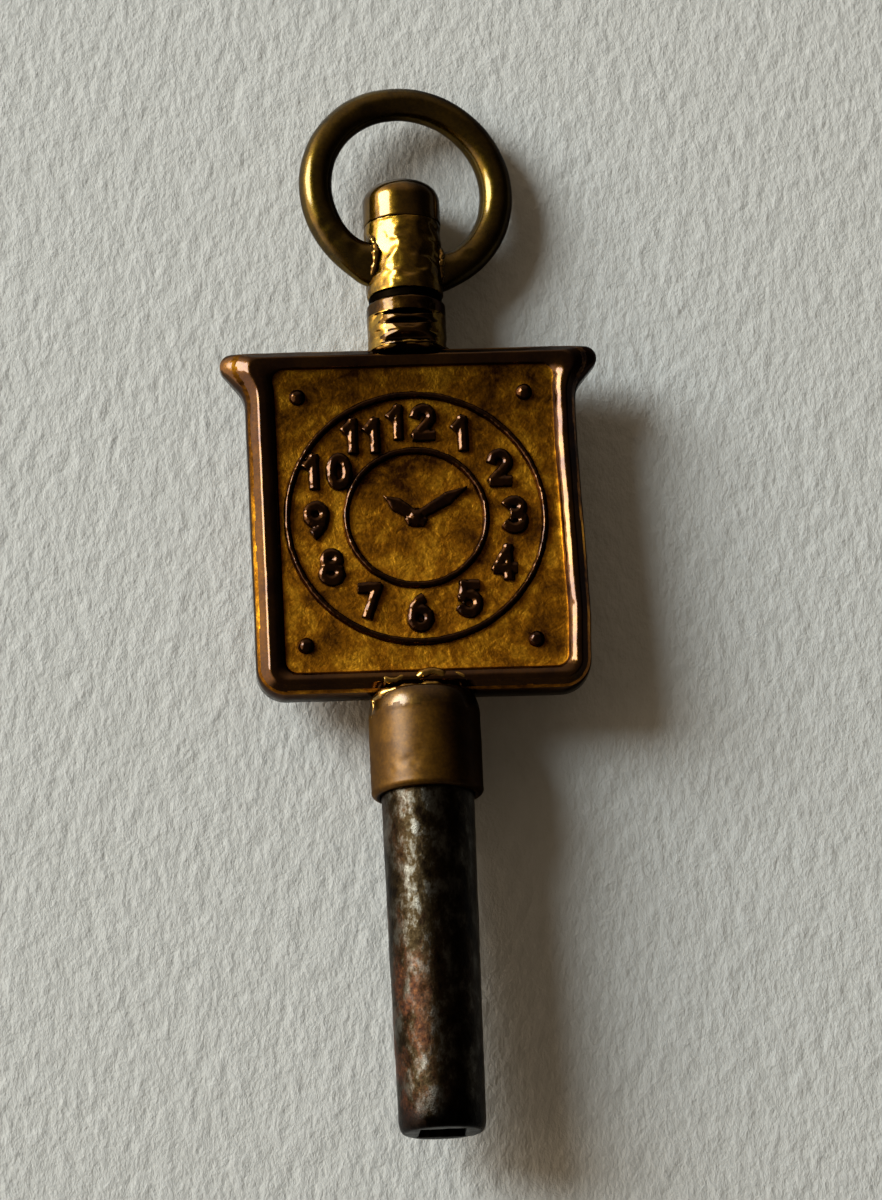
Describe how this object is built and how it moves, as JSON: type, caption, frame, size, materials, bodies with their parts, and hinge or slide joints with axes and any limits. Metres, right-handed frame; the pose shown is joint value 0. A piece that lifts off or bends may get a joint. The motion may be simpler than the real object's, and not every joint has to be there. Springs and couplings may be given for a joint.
{
  "type": "clock key",
  "caption": "Small clock and watch winding key: a square-socketed steel pipe in a brass ferrule, a flat eared brass plate with a dial in relief to grip, and a ring that swivels on a domed pin.",
  "frame": {"origin": "middle of the pipe's mouth, on the winding axis", "axes": "+Y up the winding axis from the pipe's mouth to the ring, +X to the right across the plate, +Z out of the plate's front face, which lies upward"},
  "size_m": [0.0134, 0.038, 0.0038],
  "materials": {
    "key_brass": "tarnished, polished on its high points",
    "ring_brass": "dull olive tarnish, worn smooth",
    "ferrule_brass": "satin, reddish tarnish",
    "pipe_steel": "dull grey with brown rust spots"
  },
  "bodies": {
    "key": {"key_plate": "key_brass", "neck": "key_brass", "ferrule": "ferrule_brass", "pipe": "pipe_steel", "swivel_pin": "ring_brass"},
    "bow": {"swivel_sleeve": "key_brass", "bow_ring": "ring_brass"}
  },
  "joints": [
    {"name": "bow_swivel", "type": "hinge", "parent": "key", "child": "bow", "pos_m": [0, 0.0313, 0], "axis": [0, 1, 0], "continuous": true}
  ]
}
